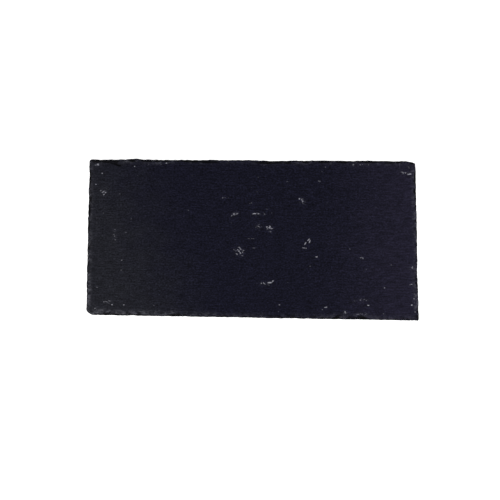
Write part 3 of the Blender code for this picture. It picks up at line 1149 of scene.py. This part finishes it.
# Bands round the edge: where each comes in and where it fades out again, as distances in from the
# arris. Below the arris they are negative.
# LOW_BAND is painted shade on the edge's faces, RIM_BAND holds dark patches of painted shade along the
# arris, and RUBBED_BAND chalky wear with painted highlight.
LOW_BAND = ((-0.0078, -0.0060), (-0.0032, -0.0004))
RIM_BAND = ((-0.0045, -0.0020), (0.0002, 0.0020))
RUBBED_BAND = ((-0.0040, -0.0020), (0.0005, 0.0045))
SPLIT_FACE = (-0.0006, 0.0)  # where the chipped edge gives way to the smoother top face

# Masks: a noise or a depth at which each starts to show and at which it shows fully.
LAYERED = (0.40, 0.60)
CHIPPED = (0.0002, 0.0012)
UNSHADED_RIM = (0.38, 0.50)
RUBBED = (0.44, 0.70)
BREAK_SHADOW_SHOWN = (0.22, 0.68)
BREAK_TRACE = (0.02, 0.15)
CRUSHED = (2.0, 2.4)

LOW_SHADE, LAYER_SHADE, CHIP_SHADE = 0.55, 0.25, 0.20  # how black the painted shade on the low edge is, and what adds to it: the stone's layers, and painted shadow deeper in the chips
RIM_SHADE = 0.75  # how black the rim's dark patches of painted shade are
BREAK_SHADE, BREAK_LAYERS = 0.80, 0.15  # how black the painted shadow in a break is, and how much the stone's layers add
BREAK_RAGGED = 1.5  # how much the noise frays the painted shadow of a break
RUBBED_CHALK, DUST_CHALK = 0.165, 0.02  # how chalky rubbed stone and the dust beside it are
RUBBED_PATCHY = 0.8  # how much the rim's patches thin the chalk out
CRUSHED_NOISE, CRUSHED_MARK = 2.6, 1.25  # what shows a fleck: the noise, and the mark it lies in
FAINT_FLECK = 0.12  # chalk on the faintest fleck
POWDER_CHALK = 0.03
PITTED, CRUSHED_MATT, EDGE_MATT = 0.3, 0.25, 0.35  # what adds to the roughness, and how much
SHINE = 0.08  # specular level of the stone
FURROW_SHARE, PIT_SHARE = 0.6, 0.4  # what the fine relief is made of
RELIEF_DEPTH = 0.00016


def painted_sheen_ends(bench):
    """Masks of the painted sheen: grey at the left end and violet at the right."""
    right = bench.node("ShaderNodeSeparateXYZ", values={0: bench.place()}, output="X")
    back = bench.node("ShaderNodeSeparateXYZ", values={0: bench.place()}, output="Y")
    patches = (bench.lumps(PATCHES) - 0.5) * PATCHY
    grey_sheen = bench.rise(patches - right - back * GREY_SHEEN_SLANT, *GREY_SHEEN_REACH)
    violet_sheen = bench.rise(right + back * VIOLET_SHEEN_SLANT + patches, *VIOLET_SHEEN_REACH)
    return grey_sheen, violet_sheen


def clean_stone(bench, finish):
    """The stone's own colours, lighter and darker along the grain, with the painted sheen at its ends."""
    grey_sheen, violet_sheen = painted_sheen_ends(bench)
    streaks, mottle, speckle = (bench.lumps(kind) - 0.5 for kind in (STREAKS, MOTTLE, SPECKLE))
    speckled = SPECKLE_TONE - grey_sheen * GREY_SHEEN_CALM - violet_sheen * VIOLET_SHEEN_CALM
    tone = 1 + streaks * STREAK_TONE + mottle * MOTTLE_TONE + speckle * speckled
    colour = bench.blend(opaque(finish.stone), opaque(finish.violet_sheen), violet_sheen)
    colour = bench.blend(colour, opaque(finish.grey_sheen), grey_sheen)
    return bench.toned(colour, tone * tone)


def chipped_edge(bench, finish, colour, inward):
    """Paints shade on the low edge and in dark patches along the rim, rubs the rim pale with chalky wear
    and painted highlight, and paints near-black shadow in the breaks.
    """
    black, chalk = opaque(finish.black), opaque(finish.chalk)
    layers = bench.rise(bench.lumps(LAYERS), *LAYERED)
    chipped_away = bench.rise(bench.noted("broken"), *CHIPPED)
    # Painted shade on the faces of the chipped edge, darker in the deeper chips, with the stone's layers in
    # it.
    low_shade = LOW_SHADE + layers * LAYER_SHADE + chipped_away * CHIP_SHADE
    colour = bench.blend(colour, black, bench.band(inward, *LOW_BAND) * low_shade)

    patches, rubbing = bench.lumps(RIM_PATCHES), bench.lumps(RUBBING)
    # The rubbed band: chalky wear, paler on the near and left sides as a painted highlight where those
    # bevels catch the light.
    chalk_and_highlight = bench.band(inward, *RUBBED_BAND) * bench.noted("chalk")
    rubbed = bench.rise(rubbing + (patches - 0.5) * RUBBED_PATCHY, *RUBBED)
    colour = bench.blend(colour, chalk, chalk_and_highlight * (rubbed * RUBBED_CHALK + DUST_CHALK))
    # Painted shade: near-black patches along the arris, standing in for deep shadow at the rim.
    dark_rim = bench.band(inward, *RIM_BAND) * (1 - bench.rise(patches, *UNSHADED_RIM))
    colour = bench.blend(colour, black, dark_rim * RIM_SHADE)

    # Painted shadow in the breaks and along the flake scar's rim.
    fresh = bench.noted("fresh")
    torn = bench.rise(fresh + (rubbing - 0.5) * BREAK_RAGGED, *BREAK_SHADOW_SHOWN) * bench.rise(fresh, *BREAK_TRACE)
    return bench.blend(colour, black, torn * (BREAK_SHADE + layers * BREAK_LAYERS))


def flecks(bench, scuffed):
    """A mask of small ragged flecks: many and pale where the stone is scuffed, and a few elsewhere."""
    shown = bench.rise(bench.lumps(CRUSHING) * CRUSHED_NOISE + scuffed**0.5 * CRUSHED_MARK, *CRUSHED)
    return shown * (FAINT_FLECK + scuffed * scuffed * (1 - FAINT_FLECK))


def slate(finish):
    """Matt blue-black slate with grain, painted sheen at its ends, a rubbed rim of chalky wear and painted
    highlight, painted shade and shadow round the edge and in the breaks, and pale scuffs.
    """
    material = bpy.data.materials.new("riven slate")
    material.use_nodes = True
    bench = Bench(material.node_tree)
    shader = material.node_tree.nodes["Principled BSDF"]
    inward, scuffed = bench.noted("inward"), bench.noted("scuff")

    crushed = flecks(bench, scuffed)
    powder = scuffed * bench.lumps(POWDER) * POWDER_CHALK
    colour = chipped_edge(bench, finish, clean_stone(bench, finish), inward)
    colour = bench.blend(colour, opaque(finish.chalk), crushed + powder)
    bench.feed(shader.inputs["Base Color"], colour)

    pits = bench.lumps(PITTING)
    edge = 1 - bench.rise(inward, *SPLIT_FACE)
    matt = finish.roughness + (pits - 0.5) * PITTED + crushed * CRUSHED_MATT + edge * EDGE_MATT
    bench.feed(shader.inputs["Roughness"], matt)
    shader.inputs["Metallic"].default_value = 0.0
    shader.inputs["Specular IOR Level"].default_value = SHINE
    relief = bench.lumps(FURROWS) * FURROW_SHARE + pits * PIT_SHARE
    depth = {"Strength": 1.0, "Distance": RELIEF_DEPTH, "Height": relief}
    bench.feed(shader.inputs["Normal"], bench.node("ShaderNodeBump", values=depth))
    return material


# Studio
FLOOR_SIZE = 20.0
FLOOR_DROP = 0.00005  # keeps the floor just under the stone
HORIZON_LIGHT, OVERHEAD_LIGHT = 1.0, 0.08
LIGHT_FADE = (0.05, 0.85)  # sines of the heights between which the one turns into the other
CAMERA_TARGET = Vector((-0.00216, -0.01060, 0.0))
SENSOR_WIDTH = 36.0
LAMP_SIZE = 0.5
KEY_PLACE = Vector((-0.80, -0.35, 0.36))
FILL_PLACE = Vector((0.90, -0.05, 0.36))


def studio_floor(studio):
    """A wide pale floor that glows a little, so that no shadow shows on it."""
    bm = bmesh.new()
    bmesh.ops.create_grid(bm, x_segments=1, y_segments=1, size=FLOOR_SIZE)
    bmesh.ops.translate(bm, verts=bm.verts[:], vec=(0, 0, -FLOOR_DROP))
    mesh = bpy.data.meshes.new("floor")
    bm.to_mesh(mesh)
    bm.free()
    floor = bpy.data.objects.new("floor", mesh)
    bpy.context.scene.collection.objects.link(floor)
    material = bpy.data.materials.new("floor")
    material.use_nodes = True
    shader = material.node_tree.nodes["Principled BSDF"]
    shader.inputs["Base Color"].default_value = opaque(studio.floor)
    shader.inputs["Roughness"].default_value = 1.0
    shader.inputs["Specular IOR Level"].default_value = 0.0
    shader.inputs["Emission Color"].default_value = (1.0, 1.0, 1.0, 1.0)
    shader.inputs["Emission Strength"].default_value = studio.floor_glow
    mesh.materials.append(material)


def studio_walls():
    """Light from all round: bright at the horizon, and nearly dark overhead."""
    world = bpy.data.worlds.new("studio")
    world.use_nodes = True
    bench = Bench(world.node_tree)
    way = bench.node("ShaderNodeTexCoord", output="Generated")
    height = bench.node("ShaderNodeSeparateXYZ", values={0: way}, output="Z")
    light = HORIZON_LIGHT + bench.rise(height, *LIGHT_FADE) * (OVERHEAD_LIGHT - HORIZON_LIGHT)
    bench.feed(world.node_tree.nodes["Background"].inputs["Strength"], light)
    world.node_tree.nodes["Background"].inputs["Color"].default_value = (1.0, 1.0, 1.0, 1.0)
    bpy.context.scene.world = world


def soft_lamp(name, place, power):
    """A square soft light that faces the slab."""
    data = bpy.data.lights.new(name, "AREA")
    data.shape = "SQUARE"
    data.size = LAMP_SIZE
    data.energy = power
    lamp = bpy.data.objects.new(name, data)
    lamp.location = place
    lamp.rotation_euler = (-place).to_track_quat("-Z", "Y").to_euler()
    bpy.context.scene.collection.objects.link(lamp)


def studio_camera(studio):
    """The camera, which looks down on the slab from its near side."""
    data = bpy.data.cameras.new("camera")
    data.sensor_width = SENSOR_WIDTH
    data.lens = studio.lens
    camera = bpy.data.objects.new("camera", data)
    back = Vector((0.0, -math.cos(studio.elevation), math.sin(studio.elevation)))
    tilt = Euler((math.pi / 2 - studio.elevation, 0.0, 0.0)).to_matrix()
    turn = tilt @ Matrix.Rotation(studio.roll, 3, "Z")
    camera.matrix_world = Matrix.LocRotScale(CAMERA_TARGET + back * studio.distance, turn, None)
    bpy.context.scene.collection.objects.link(camera)
    bpy.context.scene.camera = camera


class SLATE_OT_slab(bpy.types.Operator):
    """Build the slate slab over its CAD node"""

    bl_idname = "slate.slab"
    bl_label = "Slate slab"

    def execute(self, context):
        mesh = slab_mesh(context.scene.slate_shape)
        mesh.materials.append(slate(context.scene.slate_finish))
        slab = bpy.data.objects.new("slate", mesh)
        context.scene.collection.objects.link(slab)
        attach(slab, BODY)
        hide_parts(NODE)
        return {"FINISHED"}


class SLATE_OT_studio(bpy.types.Operator):
    """Build the floor, the light and the camera"""

    bl_idname = "slate.studio"
    bl_label = "Studio"

    def execute(self, context):
        studio = context.scene.slate_studio
        studio_floor(studio)
        studio_walls()
        soft_lamp("key", KEY_PLACE, studio.key)
        soft_lamp("fill", FILL_PLACE, studio.fill)
        studio_camera(studio)
        context.scene.view_settings.view_transform = "Standard"
        return {"FINISHED"}


class SLATE_PT_panel(bpy.types.Panel):
    """Buttons and sizes of the slate slab"""

    bl_idname = "SLATE_PT_panel"
    bl_label = "Slate slab"
    bl_space_type = "VIEW_3D"
    bl_region_type = "UI"
    bl_category = "Slate"

    def draw(self, context):
        scene = context.scene
        for operator, group in (
            (SLATE_OT_slab, (scene.slate_shape, scene.slate_finish)),
            (SLATE_OT_studio, (scene.slate_studio,)),
        ):
            column = self.layout.column()
            column.operator(operator.bl_idname)
            for settings in group:
                for name in settings.__annotations__:
                    column.prop(settings, name)


CLASSES = (SlateShape, SlateFinish, SlateStudio, SLATE_OT_slab, SLATE_OT_studio, SLATE_PT_panel)


def register():
    for item in CLASSES:
        bpy.utils.register_class(item)
    bpy.types.Scene.slate_shape = PointerProperty(type=SlateShape)
    bpy.types.Scene.slate_finish = PointerProperty(type=SlateFinish)
    bpy.types.Scene.slate_studio = PointerProperty(type=SlateStudio)


def unregister():
    del bpy.types.Scene.slate_studio
    del bpy.types.Scene.slate_finish
    del bpy.types.Scene.slate_shape
    for item in reversed(CLASSES):
        bpy.utils.unregister_class(item)


def main():
    register()
    bpy.ops.slate.slab()
    bpy.ops.slate.studio()


if __name__ == "__main__":
    main()
